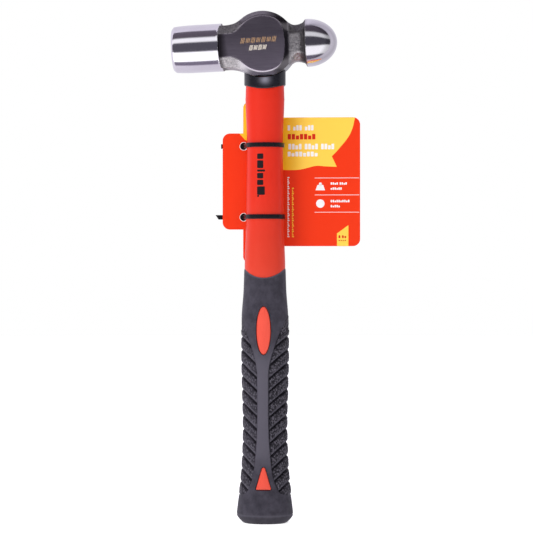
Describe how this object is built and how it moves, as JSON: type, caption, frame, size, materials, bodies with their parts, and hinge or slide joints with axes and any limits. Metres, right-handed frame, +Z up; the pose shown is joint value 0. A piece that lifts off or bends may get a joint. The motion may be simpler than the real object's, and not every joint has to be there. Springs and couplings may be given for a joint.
{
  "type": "hammer",
  "caption": "Ball peen hammer with a forged steel head, fibreglass shaft in a red jacket, black rubber grip, and a display card held on by cable ties.",
  "frame": {"origin": "centre of the flat end of the butt", "axes": "+Z up the shaft to the head, +X along the head from the striking face to the ball, -Y is the front, with the display card behind the shaft at +Y"},
  "size_m": [0.1211, 0.0318, 0.3288],
  "materials": {
    "head_steel": "polished ends, brushed cheeks, rough cast necks",
    "fibreglass": "pultruded",
    "epoxy": "cast",
    "jacket_red": "satin moulded",
    "collar_black": "satin moulded",
    "grip_rubber": "matte, pebbled pads",
    "card": "printed, smooth",
    "tie_nylon": "satin"
  },
  "bodies": {
    "root": {"head": "head_steel", "shaft_core": "fibreglass", "eye_bond": "epoxy", "shaft_jacket": "jacket_red", "collar": "collar_black", "grip": "grip_rubber", "display_card": "card", "cable_tie_upper": "tie_nylon", "cable_tie_lower": "tie_nylon"}
  },
  "joints": []
}
